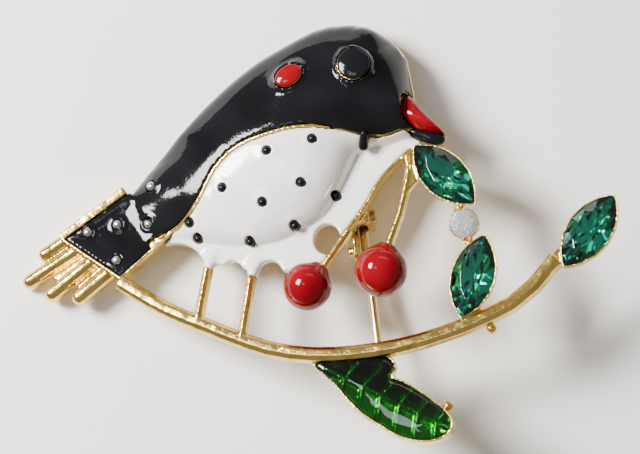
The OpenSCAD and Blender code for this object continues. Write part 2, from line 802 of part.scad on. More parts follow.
// The web between the second stem and the first stone's cup
module stem_web() {
    hull() {
        for (p = [stem_2_point(0.12), stem_2_point(0.3),
                stone_1_at - 0.27 * stone_l * dir(stone_1_turn)]) {
            translate([p[0], p[1], 0.6]) cylinder(r = 0.35, h = stem_h - 0.7);
        }
    }
}

// Small metal joins between the cups, and the stone at the branch's end
module join(p, r, h) translate([p[0], p[1], 0.4]) cylinder(r = r, h = h - 0.4);
module cup_joins() {
    join(crystal_at + 0.52 * crystal_d * unit(stone_1_at - crystal_at), 0.55, girdle_h - 0.1);
    join(crystal_at + 0.52 * crystal_d * unit(stone_2_at - crystal_at), 0.55, girdle_h - 0.1);
    hull() {
        join(branch_at(0.985), 0.4 * branch_w, branch_h - 0.2);
        join(mix(branch_at(1), stone_3_at, 0.35), 0.4 * branch_w, girdle_h - 0.4);
    }
}

// Rounded nubs below the branch, at the leaf's edge and beside the throat
module nub(p, r, z) translate([p[0], p[1], z]) sphere(r, $fn = 8);
module nubs() {
    nub(branch_at(0.86) - [0.26, 1.32], nub_r, nub_r);
    nub(leaf_point([0.9, 0.285]), nub_r, nub_r);
}

// The leaf

leaf_base = branch_at(leaf_at) - [0, 0.5 * branch_w];
function leaf_point(p) = leaf_base
    + leaf_l * p[0] * dir(leaf_turn) + leaf_w * p[1] * left(dir(leaf_turn));
// A closed smooth curve through points, each stretch cut into n
function smooth(points, n) =
    let (m = len(points))
    [for (i = [0:m - 1]) for (k = [0:n - 1])
        let (
            a = points[(i + m - 1) % m], b = points[i],
            c = points[(i + 1) % m], d = points[(i + 2) % m],
            u = k / n
        )
        b + u * 0.5 * ((c - a) + u * ((2 * a - 5 * b + 4 * c - d) + u * (3 * b - a - 3 * c + d)))
    ];
leaf_outline = smooth([for (p = LEAF) leaf_point(p)], 2);
leaf_middle = leaf_point([0.47, 0.05]);
function inset(points, middle, d) =
    [for (p = points) middle + (norm(p - middle) - d) / norm(p - middle) * (p - middle)];
leaf_floor = leaf_h - leaf_cell;
// The leaf's veins, and its tray with them
module ribs(grow = 0) {
    tip = leaf_point([0.96, 0]);
    hull() {
        for (p = [leaf_point([0.03, 0.02]), tip]) {
            translate([p[0], p[1], leaf_floor - 0.1])
                cylinder(r = 0.22 + grow, h = rib_h + 0.1 + grow, $fn = 8);
        }
    }
    for (k = [1:rib_pairs]) for (side = [-1, 1]) {
        root = [0.1 + 0.78 * k / rib_pairs, 0];
        end = root + [0.09, side * 0.6];
        hull() {
            for (p = [leaf_point(root), leaf_point(end)]) {
                translate([p[0], p[1], leaf_floor - 0.1])
                    cylinder(r = 0.14 + grow, h = rib_h + 0.1 + grow, $fn = 6);
            }
        }
    }
}
module leaf_tray() {
    difference() {
        linear_extrude(leaf_h) polygon(leaf_outline);
        translate([0, 0, leaf_floor]) linear_extrude(leaf_h)
            polygon(inset(leaf_outline, leaf_middle, leaf_rim));
    }
    intersection() {
        ribs();
        linear_extrude(leaf_h) polygon(inset(leaf_outline, leaf_middle, leaf_rim / 2));
    }
}

// The beak

beak_at = on_bird(body_l * 0.9, -body_w * 0.29);
beak_turn = body_turn - 69;
function beak_point(p) = beak_at
    + beak_l * p[0] * dir(beak_turn) + beak_h * p[1] * left(dir(beak_turn));
beak_outline = smooth([for (p = BEAK) beak_point(p)], 2);
beak_middle = beak_point([0.3, 0.2]);
under_outline = smooth([for (p = UNDER_BEAK) beak_point(p)], 2);
under_middle = beak_point([0.55, -0.06]);
// Room for the beak in the body, its metal base, and the two pillow shapes
module beak_room() {
    translate([0, 0, back_h - gap]) linear_extrude(9)
        polygon(inset(beak_outline, beak_middle, -beak_play));
}
module beak_base() {
    translate([0, 0, 0.04]) linear_extrude(back_h - gap - 0.04) polygon(beak_outline);
    under_pad(0.07, under_base, 0.05);
}
// A plate of the lower beak's outline
module under_pad(from, to, inside) {
    translate([0, 0, from]) linear_extrude(to - from)
        polygon(inset(under_outline, under_middle, inside));
}
module under_beak(grow = 0) {
    pillow(inset(under_outline, under_middle, -grow), under_middle, under_base + gap - grow,
        beak_edge - 0.3 + grow, 0.4);
}
module beak_shape(inside, drop) {
    pillow(inset(beak_outline, beak_middle, inside), beak_middle, 0.1, beak_edge - drop, beak_rise);
}

// The pin behind

pin_at = on_bird(body_l * pin_share, -body_w * 0.529);
module at_pin() {
    translate([pin_at[0], pin_at[1], -pin_depth]) rotate(pin_turn) children();
}
ear_y = eye_w / 2 + ear_play;
// A round along the rivet's axis
module across(from, to, r) {
    translate([0, to, 0]) rotate([90, 0, 0]) cylinder(r = r, h = to - from);
}
// Two ears on a foot, with a bent finger against which the open pin's eye turns
module hinge_bracket() at_pin() {
    for (side = [-1, 1]) {
        y = side > 0 ? ear_y : -ear_y - ear_t;
        hull() {
            across(y, y + ear_t, ear_r);
            translate([-ear_r, y, pin_depth - 0.5]) cube([2 * ear_r, ear_t, 0.5 + sunk_in]);
        }
    }
    hull() {
        across(-ear_y - ear_t, -ear_y, 0.8 * ear_r);
        translate([tongue_l, 0, 0.3 * pin_depth]) across(-ear_y - ear_t, -ear_y, 0.8);
    }
    translate([tongue_l - 0.3, 0, 0.3 * pin_depth]) across(-ear_y - 2.2 * ear_t, -ear_y, 0.5);
    translate([-ear_r, -ear_y - ear_t, pin_depth - 0.5])
        cube([2 * ear_r, 2 * (ear_y + ear_t), 0.5 + sunk_in]);
}
module rivet_room() at_pin() across(-9, 9, rivet_d / 2 + gap);
// The open hook that takes the pin's end
module catch() at_pin() {
    translate([pin_l - catch_from_tip, 0, 0]) difference() {
        translate([-catch_l / 2, -catch_w / 2, -catch_reach])
            cube([catch_l, catch_w, pin_depth + catch_reach + sunk_in]);
        translate([-catch_l, -pin_d / 2 - catch_play, -pin_depth])
            cube([2 * catch_l, pin_d + 2 * catch_play, pin_depth + pin_d / 2 + catch_play]);
    }
}

// How the brooch lies: on its tail, on its back edge and on the hinge

function around(p, r) = [for (a = [0:30:330]) on_bird(p[0], p[1]) + r * dir(a)];
tail_points = concat(
    [for (f = FEATHERS) each around(feather_tip(f), feather_w / 2)],
    [for (f = FEATHERS) each around(feather_base(f), feather_w / 2)],
    [for (p = PANEL) each around([panel_l * p[0], panel_w * p[1] + band_w - line_w], line_w)]
);
back_edge = [for (s = sections) bird_edge(s, BACK)];
// The point that lies farthest to the left of a direction
function farthest(points, turn) =
    let (v = left(dir(turn)), most = max([for (p = points) p * v]))
    [for (p = points) if (p * v == most) p][0];
function turn_between(turn) =
    let (d = farthest(back_edge, turn) - farthest(tail_points, turn))
    atan2(d[1], d[0]);
rest_turn = turn_between(turn_between(turn_between(body_turn)));
tail_rest = farthest(tail_points, rest_turn);
rest_right = -left(dir(rest_turn));
hinge_out = (pin_at - tail_rest) * rest_right;
ear_half = ear_y + ear_t;
// Tip of the ears' reach below their axis when the brooch leans by t
function ear_drop(t) =
    let (k = sin(t) * (rest_right * left(dir(pin_turn))))
    ear_r * sqrt(1 - k * k) + ear_half * abs(k);
function lean(drop) = asin(drop / norm([hinge_out, pin_depth])) + atan(pin_depth / hinge_out);
rest_lean = lean(ear_drop(lean(ear_drop(lean(ear_r)))));

// A point [x, y, z] of the laid-out brooch, turned to its rest
function turned(p) =
    let (
        q = [p[0], p[1]], along = q * dir(rest_turn), out = (q - tail_rest) * rest_right,
        flat = along * dir(rest_turn)
            + ((tail_rest * rest_right) + out * cos(rest_lean) - p[2] * sin(rest_lean))
            * rest_right
    )
    [flat[0], flat[1], out * sin(rest_lean) + p[2] * cos(rest_lean)];
// The brooch's outermost points, for the middle of its box
rim_points = concat(
    [for (s = sections) for (p = black_points(s))
        let (q = on_bird(body_l * s, p[0])) turned([q[0], q[1], p[1]])],
    [for (p = back_edge) turned([p[0], p[1], 0])],
    [for (p = leaf_outline) for (z = [0, leaf_h]) turned([p[0], p[1], z])],
    [for (k = [0:23]) for (z = [girdle_t + 0.06, -0.6]) let (q = stone_3_at
        + rotated(oval(stone_l + 2 * setting_t, stone_w + 2 * setting_t, 15 * k), stone_3_turn))
        turned([q[0], q[1], girdle_h + z])],
    [for (f = FEATHERS) for (a = [0:15:345]) for (z = [0, feather_h - feather_w / 2])
        let (t = feather_tip(f) + feather_w / 2 * dir(a), q = on_bird(t[0], t[1]))
        turned([q[0], q[1], z])]
);
function rotated(p, a) = p[0] * dir(a) + p[1] * left(dir(a));
function middle_of(c) =
    (max([for (p = rim_points) p[c]]) + min([for (p = rim_points) p[c]])) / 2;
rest_middle = [middle_of(0), middle_of(1)];
module lie_down() {
    translate([-rest_middle[0], -rest_middle[1], 0])
        translate([tail_rest[0], tail_rest[1], 0])
        rotate(a = -rest_lean, v = [cos(rest_turn), sin(rest_turn), 0])
        translate([-tail_rest[0], -tail_rest[1], 0]) children();
}

// The pieces

module frame() color(gold) lie_down() {
    difference() {
        union() {
            difference() {
                union() {
                    difference() {
                        cast_body();
                        belly_cuts(0.05);
                        wrap(wrap_t + gap, -1, 9, 0.1);
                        drips(gap);
                        beak_room();
                        body_hollow();
                        at_bird() translate([0, 0, panel_floor]) linear_extrude(9)
                            panel_black(0);
                    }
                    tail();
                    cup(eye_place, eye_d, eye_d, eye_top);
                    cup(spot_place, spot_l, spot_w, spot_top);
                    border_line();
                    throat_rim();
                }
                berry_room();
            }
            beak_base();
            beak_shape(beak_t, beak_t);
            legs();
            stem_1();
            stem_2();
            berry_core(berry_1_at, berry_1_z, berry_1_d);
            berry_core(berry_2_at, berry_2_z, berry_2_d);
            branch();
            leaf_tray();
            stem_web();
            cup_joins();
            nubs();
            for (i = [0:stones - 1]) at_stone(i) setting(stone_l, stone_w, setting_t);
            at_crystal() setting(crystal_d, crystal_d, 0.6 * setting_t);
            hinge_bracket();
            catch();
        }
        under_beak(gap);
        black_drop(gap);
        belly_holes();
        stud_holes();
        in_cup(eye_place, eye_d, eye_d, eye_top);
        in_cup(spot_place, spot_l, spot_w, spot_top);
        for (i = [0:stones - 1]) at_stone(i) stone_room(stone_l, stone_w);
        at_crystal() stone_room(crystal_d, crystal_d);
        rivet_room();
    }
}

module black_enamel() color(black) lie_down() {
    difference() {
        union() {
            black_strip();
            at_bird() translate([0, 0, panel_floor + gap])
                linear_extrude(enamel_t) panel_black(-gap);
            collar(eye_place, eye_d, eye_d, eye_top);
            collar(spot_place, spot_l, spot_w, spot_top);
        }
        under_beak(gap);
        side_of_border(-1);
        cup_room(eye_place, eye_d, eye_d);
        cup_room(spot_place, spot_l, spot_w);
        beak_shape(-gap, -1);
        stud_holes();
        belly_holes();
    }
    black_drop();
}

module white_enamel() color(white) lie_down() {
    difference() {
        union() {
            difference() {
                white_strip();
                belly_cuts();
            }
            wrap(wrap_t, wrap_low, flange_h - 0.2, -0.015);
            drips();
        }
        at_bird() translate([0, 0, -1]) linear_extrude(1 + panel_h + gap)
            offset(delta = gap + 0.01) panel_outline();
        beak_shape(-gap, -1);
        under_pad(-1, 9, -gap);
        stem_1(gap);
        black_drop(gap);
        side_of_border(1);
        throat_rim(gap, 0.2);
        belly_holes();
        legs(gap);
        berry_room();
    }
}

module lower_beak() color(black) lie_down() {
    difference() {
        under_beak();
        beak_shape(-gap, -1);
    }
}

module beak_enamel() color(red) lie_down() {
    difference() {
        beak_shape(0, 0);
        beak_shape(beak_t - gap, beak_t - gap);
        translate([0, 0, -1]) linear_extrude(back_h + 1)
            polygon(inset(beak_outline, beak_middle, -1));
        under_pad(0, under_base + gap, 0.05 - gap);
    }
}

module red_spot() color(red) lie_down() {
    at_bird() translate([spot_place[0], spot_place[1], 0]) scale([spot_l / spot_w, 1, 1])
        translate([0, 0, spot_top - cup_rise + gap])
        cylinder(r = spot_w / 2 - cup_wall - gap, h = cup_rise - 2 * gap);
}

module eye() color(black) lie_down() {
    at_bird() translate([eye_place[0], eye_place[1], eye_top - cup_rise + gap])
        cylinder(r = eye_d / 2 - cup_wall - gap, h = cup_rise - 2 * gap);
}

module leaf_enamel() color(leaf_green) lie_down() {
    difference() {
        pillow(inset(leaf_outline, leaf_middle, leaf_rim + 2 * gap), leaf_middle,
            leaf_floor + gap, leaf_h - gap, leaf_rise);
        ribs(gap);
        bar([for (k = [0:branch_steps]) branch_at(k / branch_steps)],
            branch_w + 2 * gap, branch_h + 2 * gap, -gap);
    }
}

module berry_1() color(red) lie_down()
    berry(berry_1_at, berry_1_z, berry_1_d, stem_1_turn + 180);
module berry_2() color(red) lie_down()
    berry(berry_2_at, berry_2_z, berry_2_d, stem_2_neck);
module gem(i) color(green) lie_down() at_stone(i)
    stone(stone_l, stone_w, crown_of_stone, pavilion);
module crystal() color("#e8eef2") lie_down() at_crystal()
    stone(crystal_d, crystal_d, 0.7 * crown_of_stone, pavilion);
module belly_dot(d) color(black) lie_down() at_bird()
    peg(dot_place(d), dot_d / 2, bird_z(d[0], body_w * d[1]));
module tail_stud(d) color("#b9bbc0") lie_down() at_bird()
    peg(dot_place(d), stud_d / 2, stud_surface(d));

module hinge_rivet() color(gold) lie_down() at_pin() {
    across(-ear_half - 0.3, ear_half + 0.3, rivet_d / 2);
    for (y = [-ear_half - 0.3, ear_half + gap]) across(y, y + 0.27, rivet_d * 0.85);
}

module pin_stem() color(gold) lie_down() at_pin() {
    difference() {
        union() {
            across(-eye_w / 2, eye_w / 2, rivet_d / 2 + 0.6);
            rotate([0, 90, 0]) cylinder(r1 = eye_w / 2, r2 = pin_d / 2, h = pin_neck);
            translate([pin_neck, 0, 0]) rotate([0, 90, 0])
                cylinder(r = pin_d / 2, h = pin_l - tip_l - pin_neck);
            translate([pin_l - tip_l, 0, 0]) rotate([0, 90, 0])
                cylinder(r1 = pin_d / 2, r2 = 0.1, h = tip_l);
        }
        across(-9, 9, rivet_d / 2 + rivet_play);
    }
}

frame();
black_enamel();
white_enamel();
beak_enamel();
lower_beak();
red_spot();
eye();
leaf_enamel();
berry_1();
berry_2();
crystal();
hinge_rivet();
pin_stem();
for (i = [1:stones]) gem(i - 1);
for (i = [1:dots]) belly_dot(DOTS[i - 1]);
for (i = [1:studs]) tail_stud(STUDS[i - 1]);
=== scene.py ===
"""Bird brooch: a cast gold-toned branch with enamel cells, cut stones and berries.

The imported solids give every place. Each operator below makes one piece, or a group of like
pieces, over the solid that it stands for, and the last one sets the floor, lights and camera.
"""
import math

import bmesh
import bpy
import numpy as np
from mathutils import Matrix, Vector
from mathutils.kdtree import KDTree


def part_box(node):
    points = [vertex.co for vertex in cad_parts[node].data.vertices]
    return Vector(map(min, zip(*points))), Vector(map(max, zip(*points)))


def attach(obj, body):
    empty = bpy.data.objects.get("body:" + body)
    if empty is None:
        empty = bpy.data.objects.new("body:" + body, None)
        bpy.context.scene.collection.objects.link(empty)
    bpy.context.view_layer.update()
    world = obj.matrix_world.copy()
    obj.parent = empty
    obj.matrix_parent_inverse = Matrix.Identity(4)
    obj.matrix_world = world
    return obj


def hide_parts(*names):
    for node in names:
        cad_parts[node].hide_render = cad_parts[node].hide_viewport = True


bl_info = {
    "name": "Bird Brooch",
    "version": (1, 0, 0),
    "blender": (4, 5, 0),
    "location": "3D View > Sidebar > Brooch",
    "description": "Builds the enamelled bird brooch over its solids",
    "category": "Object",
}

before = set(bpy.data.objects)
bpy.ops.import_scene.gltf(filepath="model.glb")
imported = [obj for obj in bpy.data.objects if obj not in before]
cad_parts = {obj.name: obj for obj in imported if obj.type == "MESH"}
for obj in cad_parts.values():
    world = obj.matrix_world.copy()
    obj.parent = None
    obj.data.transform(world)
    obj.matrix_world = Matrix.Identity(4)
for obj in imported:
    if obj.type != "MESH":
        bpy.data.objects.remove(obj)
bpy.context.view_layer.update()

MM = 0.001
# The brooch's own plane as it lies: its across and up directions, its front, and its corner
# in millimetres
ACROSS = Vector((0.98587, 0.01599, 0.16672))
ALONG = Vector((0.01599, 0.98190, -0.18874))
FRONT = Vector((-0.16672, 0.18873, 0.96777))
CORNER = Vector((-22.9755, -4.3338, 1.3720))
BIRD_TURN = math.radians(35.2)
DOTS = [f"belly_dot_{i}" for i in range(1, 11)]
STUDS = [f"tail_stud_{i}" for i in range(1, 6)]
STONES = [f"stone_{i}" for i in range(1, 4)]
# The leaf's middle on the brooch, and the direction across the leaf towards the branch
LEAF_MIDDLE = (29.9, -12.6, 1.4)
LEAF_ACROSS = (0.434, 0.901, 0.0)
# A place in the bird's middle, along it and across it, that sees all of the back's edge
HEART = np.array([25.0, -1.0])
# The tail panel's corners, along the bird and across it, from its open end round to the other
PANEL = [(9.0, 4.49), (0.0, 4.29), (2.565, -2.44), (9.0, -1.62)]
# How far a dot's or a stud's enamel line lies above the middle of its node
POST_LINE = 0.33 * MM
# Edges of the solids that are sharper than this stay where they are
TRUE_EDGE = math.radians(38)
# A remesh is coarse on very small pieces, so a piece is enlarged for it
ENLARGED = 100.0
# Grades of the share with which a surface flows
GRADES = 10


# Places on the brooch

def laid(x, y, z=0.0):
    """A place in the brooch's own plane, in millimetres, as it lies in the scene."""
    return (ACROSS * x + ALONG * y + FRONT * z + CORNER) * MM


def turned(x, y, z):
    """A direction in the brooch's own plane as it lies in the scene."""
    return ACROSS * x + ALONG * y + FRONT * z


def points_of(piece):
    """A piece's points as an array in metres."""
    flat = np.empty(len(piece.data.vertices) * 3)
    piece.data.vertices.foreach_get("co", flat)
    return flat.reshape(-1, 3)


def move_points(piece, points):
    """Give a piece's points new places."""
    piece.data.vertices.foreach_set("co", points.ravel())
    piece.data.update()


def in_bird(points):
    """Points in millimetres along the bird, across it and up from the back face."""
    axes = np.array([ACROSS, ALONG, FRONT])
    flat = (points / MM - np.array(CORNER)) @ axes.T
    c, s = math.cos(BIRD_TURN), math.sin(BIRD_TURN)
    return np.stack([flat[:, 0] * c + flat[:, 1] * s, flat[:, 1] * c - flat[:, 0] * s,
                     flat[:, 2]], axis=1)


def out_of_bird(along, across):
    """Shifts along and across the bird as they lie in the scene."""
    c, s = math.cos(BIRD_TURN), math.sin(BIRD_TURN)
    return (np.outer(along * c - across * s, np.array(ACROSS))
            + np.outer(along * s + across * c, np.array(ALONG)))


def around_heart(bird):
    """The angle and the reach of the bird's points from its heart, and the points from there."""
    flat = bird[:, :2] - HEART
    return np.arctan2(flat[:, 1], flat[:, 0]), np.linalg.norm(flat, axis=1), flat


def eased(share):
    """A share from 0 to 1 that starts and ends softly."""
    return share * share * (3 - 2 * share)


def middle_of(node):
    """The middle of a node's box."""
    low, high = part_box(node)
    return (Vector(low) + Vector(high)) / 2


# Hand tools

def choose(*pieces):
    """Leave only these pieces selected, with the first one active."""
    if bpy.context.mode != "OBJECT":
        bpy.ops.object.mode_set(mode="OBJECT")
    bpy.ops.object.select_all(action="DESELECT")
    for piece in pieces:
        piece.select_set(True)
    bpy.context.view_layer.objects.active = pieces[0]


def finish_with(piece, kind, label, **settings):
    """Add a modifier and apply it."""
    choose(piece)
    modifier = piece.modifiers.new(label, kind)
    for name, value in settings.items():
        setattr(modifier, name, value)
    if "FINISHED" not in bpy.ops.object.modifier_apply(modifier=modifier.name):
        raise RuntimeError(f"{label} could not be applied to {piece.name}")


def copy_of(node, name):
    """A merged copy of a solid's surface, ready to be worked on."""
    piece = bpy.data.objects.new(name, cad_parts[node].data.copy())
    bpy.context.scene.collection.objects.link(piece)
    choose(piece)
    piece.data.materials.clear()
    bpy.ops.mesh.customdata_custom_splitnormals_clear()
    bpy.ops.object.mode_set(mode="EDIT")
    bpy.ops.mesh.select_all(action="SELECT")
    bpy.ops.mesh.remove_doubles(threshold=2e-7)
    bpy.ops.object.mode_set(mode="OBJECT")
    return piece


def edge_places(piece, limit, step):
    """Places along a piece's true edges, where its faces meet at more than a limit."""
    mesh = bmesh.new()
    mesh.from_mesh(piece.data)
    places = []
    for edge in mesh.edges:
        if len(edge.link_faces) == 2 and edge.calc_face_angle() > limit:
            a, b = (v.co for v in edge.verts)
            count = max(1, math.ceil((b - a).length / step))
            places += [a.lerp(b, i / count) for i in range(count + 1)]
    mesh.free()
    return places


def flow_out(piece, places, rounds, keep, at_edges=False):
    """Let a surface flow smooth between its true edges, or only at these edges."""
    tree = KDTree(len(places))
    for number, place in enumerate(places):
        tree.insert(place, number)
    tree.balance()
    grades = [[] for _ in range(GRADES + 1)]
    for vertex in piece.data.vertices:
        share = min(1.0, tree.find(vertex.co)[2] / keep)
        share = 1.0 - share if at_edges else share
        grades[round(GRADES * eased(share))].append(vertex.index)
    group = piece.vertex_groups.new(name="Flowing")
    for number, members in enumerate(grades):
        if number and members:
            group.add(members, number / GRADES, "REPLACE")
    finish_with(piece, "SMOOTH", "Flow", factor=0.5, iterations=rounds, vertex_group=group.name)
    piece.vertex_groups.remove(piece.vertex_groups["Flowing"])


def even_skin(piece, grain, rounds, faces=None, flows=(), at_edges=False):
    """Give a piece an even, rounded surface of small faces, as polishing does.

    Each flow is a number of rounds and how near a true edge the surface is kept.
    """
    places = edge_places(piece, TRUE_EDGE, 0.15 * MM) if flows else []
    piece.data.transform(Matrix.Scale(ENLARGED, 4))
    finish_with(piece, "REMESH", "Even skin", mode="VOXEL", voxel_size=grain * ENLARGED,
                adaptivity=0.0)
    finish_with(piece, "SMOOTH", "Polish", factor=0.5, iterations=rounds)
    places = [place * ENLARGED for place in places]
    for flow, keep in flows:
        flow_out(piece, places, flow, keep * ENLARGED, at_edges)
    triangles = len(piece.data.polygons) * 2
    if faces and triangles > faces:
        finish_with(piece, "DECIMATE", "Fewer faces", ratio=faces / triangles)
    piece.data.transform(Matrix.Scale(1 / ENLARGED, 4))
    choose(piece)
    bpy.ops.object.shade_smooth()


def draw_up(piece, places, reach, height, hole):
    """Draw enamel up around posts of a given radius, higher towards each post."""
    points = points_of(piece)
    front = np.array(FRONT)
    deep = 1.2 * MM
    for place in places:
        away = points - np.array(place)
        up = away @ front
        side = np.linalg.norm(away - up[:, None] * front, axis=1)
        share = np.clip(1 - np.maximum(side - hole, 0) / (reach - hole), 0, 1)
        share[np.abs(up) > deep] = 0
        points += (height * share ** 2)[:, None] * front
    move_points(piece, points)


def dress(piece, finish, slot, *nodes):
    """Give a piece its finish and its body, and hide the solids that it stands for."""
    if not piece.data.materials:
        piece.data.materials.append(finish)
    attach(piece, "brooch")
    if nodes:
        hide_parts(*nodes)


# Finishes

class Wire:
    """A value in a finish, which Python's arithmetic turns into Math nodes."""

    def __init__(self, finish, socket):
        self.finish, self.socket = finish, socket

    def math(self, operation, a, b, clamp=False):
        """The Math node of an operation."""
        return self.finish.node("ShaderNodeMath", {"operation": operation, "use_clamp": clamp},
                                {0: a, 1: b})

    def __add__(self, other):
        return self.math("ADD", self, other)

    def __sub__(self, other):
        return self.math("SUBTRACT", self, other)

    def __rsub__(self, other):
        return self.math("SUBTRACT", other, self)

    def __mul__(self, other):
        return self.math("MULTIPLY", self, other)

    def kept(self):
        """The value, kept between 0 and 1."""
        return self.math("ADD", self, 0.0, clamp=True)

    __radd__ = __add__
    __rmul__ = __mul__


class Finish:
    """A surface finish made of nodes."""

    def __init__(self, name):
        self.material = bpy.data.materials.new(name)
        self.material.use_nodes = True
        self.tree = self.material.node_tree
        self.tree.nodes.clear()
        self.out = self.tree.nodes.new("ShaderNodeOutputMaterial")
        self.place = self.node("ShaderNodeTexCoord", out="Object")

    def node(self, kind, settings=None, inputs=None, out=0):
        """Add a node, set it, feed its sockets and give back one of its outputs."""
        node = self.tree.nodes.new(kind)
        for name, value in (settings or {}).items():
            setattr(node, name, value)
        for name, value in (inputs or {}).items():
            if isinstance(value, Wire):
                self.tree.links.new(value.socket, node.inputs[name])
            else:
                node.inputs[name].default_value = value
        return Wire(self, node.outputs[out])

    def noise(self, size, detail=2.0, rough=0.5):
        """Soft noise whose patches are about this many millimetres across."""
        return self.node("ShaderNodeTexNoise", None, {
            "Vector": self.place, "Scale": 1000.0 / size, "Detail": detail,
            "Roughness": rough}, "Fac")

    def reach(self, direction, start):
        """How far a place lies along a direction from a start, in millimetres."""
        apart = self.node("ShaderNodeVectorMath", {"operation": "SUBTRACT"},
                          {0: self.place, 1: tuple(start)})
        return 1000.0 * self.node("ShaderNodeVectorMath", {"operation": "DOT_PRODUCT"},
                                  {0: apart, 1: tuple(direction)}, "Value")

    def blend(self, share, first, second):
        """A colour between two, by share."""
        return self.node("ShaderNodeMix", {"data_type": "RGBA"},
                         {"Factor": share, 6: first, 7: second}, 2)

    def bump(self, height, depth, distance):
        """A relief of a depth from 0 to 1, its full height a distance in metres."""
        return self.node("ShaderNodeBump", None,
                         {"Height": height, "Strength": depth, "Distance": distance}, "Normal")

    def surface(self, **sockets):
        """The finish's shader, with each socket named as in Blender but underscored."""
        names = {name.replace("_", " "): value for name, value in sockets.items()}
        self.tree.links.new(
            self.node("ShaderNodeBsdfPrincipled", None, names, "BSDF").socket,
            self.out.inputs["Surface"])
        return self.material


def colour(name):
    """One of the brooch's colours."""
    return tuple(getattr(bpy.context.scene.brooch_colours, name)) + (1.0,)


def deeper(shade, share):
    """A darker shade of a colour."""
    return tuple(c * share for c in shade[:3]) + (1.0,)


def cast_gold():
    """Polished gold plate over a casting: soft ripples, fine pits, darker low spots."""
    f = Finish("cast_gold")
    ripple = f.noise(1.4, 2.0)
    grit = f.noise(0.16, 3.0, 0.6)
    worn = ((ripple - 0.42) * 3.0).kept()
    return f.surface(
        Base_Color=f.blend(worn * 0.55, colour("gold"), colour("gold_low")),
        Metallic=1.0,
        Roughness=0.09 + 0.12 * worn + 0.05 * grit,
        Normal=f.bump(ripple * 0.75 + grit * 0.12, 0.55, 0.00022))


def pin_metal():
    """Drawn wire: finer and straighter than the casting, and paler."""
    f = Finish("pin_metal")
    grain = f.noise(0.12, 2.0)
    patch = f.noise(2.2, 1.0)
    return f.surface(
        Base_Color=f.blend(patch, colour("pin"), deeper(colour("pin"), 0.82)),
        Metallic=1.0, Roughness=0.2 + 0.1 * grain,
        Normal=f.bump(grain, 0.25, 0.00003))


def glossy_enamel(name, shade, second, ripple_mm, depth, coat=0.0, rough=0.05,
                  glance=1.45):
    """Poured enamel: a flowing surface with slow ripples and a few fine specks."""
    f = Finish(name)
    flow = f.noise(ripple_mm, 1.0, 0.4)
    speck = f.noise(0.3, 2.0, 0.5)
    return f.surface(
        Base_Color=f.blend(((flow - 0.35) * 2.2).kept(), shade, second),
        Roughness=rough + 0.04 * speck, IOR=glance, Coat_Weight=coat, Coat_Roughness=0.03,
        Normal=f.bump(flow + 0.06 * speck, depth, 0.0004))


def black_enamel():
    return glossy_enamel("black_enamel", colour("black"), deeper(colour("black"), 2.2),
                         4.2, 0.35, glance=1.30)


def white_enamel():
    return glossy_enamel("white_enamel", colour("white"), colour("white_low"), 3.6, 0.22,
                         coat=0.4, rough=0.12)


def red_enamel():
    return glossy_enamel("red_enamel", colour("red"), deeper(colour("red"), 0.62), 2.4, 0.2,
                         glance=1.36)


def clear_green():
    """Transparent green enamel over the leaf's ribbed floor, its green darker over its upper
    half.
    """
    f = Finish("leaf_enamel")
    cloud = f.noise(3.2, 2.0)
    across = f.reach(turned(*LEAF_ACROSS), laid(*LEAF_MIDDLE))
    # The green is darkened towards the branch, over the leaf's upper half
    deep = ((across + 0.7 + 1.4 * (cloud - 0.5)) * 0.7).kept()
    return f.surface(
        Base_Color=f.blend(deep, colour("leaf"), deeper(colour("leaf"), 0.06)),
        Roughness=0.02 + 0.02 * cloud, IOR=1.5, Transmission_Weight=1.0,
        Normal=f.bump(cloud, 0.15, 0.0003))


def glass(name, shade, clear=1.0):
    """Cut glass: clear, or a little milky, sharp and faintly scuffed."""
    f = Finish(name)
    scuff = f.noise(0.5, 2.0)
    return f.surface(
        Base_Color=f.blend(scuff, shade, deeper(shade, 0.92)),
        Roughness=0.01 + 0.015 * scuff, IOR=1.55, Transmission_Weight=clear)


def foil(name, shade, rough):
    """The mirror foil behind a stone."""
    f = Finish(name)
    patch = f.noise(0.9, 1.0)
    return f.surface(Base_Color=f.blend(patch, shade, deeper(shade, 0.8)), Metallic=1.0,
                     Roughness=rough + 0.04 * patch)


def bright_stud():
    """Small silvery studs."""
    f = Finish("stud_metal")
    grit = f.noise(0.2, 2.0)
    return f.surface(
        Base_Color=f.blend(grit, colour("stud"), deeper(colour("stud"), 0.6)),
        Metallic=1.0, Roughness=0.16 + 0.14 * grit, Normal=f.bump(grit, 0.3, 0.00004))


def pale_table():
    """Pale table top with a faint tooth."""
    f = Finish("pale_table")
    tooth = f.noise(0.8, 4.0)
    cloud = f.noise(30.0, 2.0)
    return f.surface(
        Base_Color=f.blend(((cloud - 0.3) * 1.6).kept(), colour("table"),
                           deeper(colour("table"), 0.95)),
        Roughness=0.62 + 0.1 * tooth, Normal=f.bump(tooth, 0.08, 0.0001))


# Sizes and colours that a user would change

def length(name, description, default):
    """A size that a user would change."""
    return bpy.props.FloatProperty(name=name, description=description, default=default,
                                   min=0.0, unit="LENGTH", precision=6)


def shade(name, description, default):
    """A colour that a user would change."""
    return bpy.props.FloatVectorProperty(name=name, description=description, default=default,
                                         subtype="COLOR", size=3, min=0.0, max=1.0)


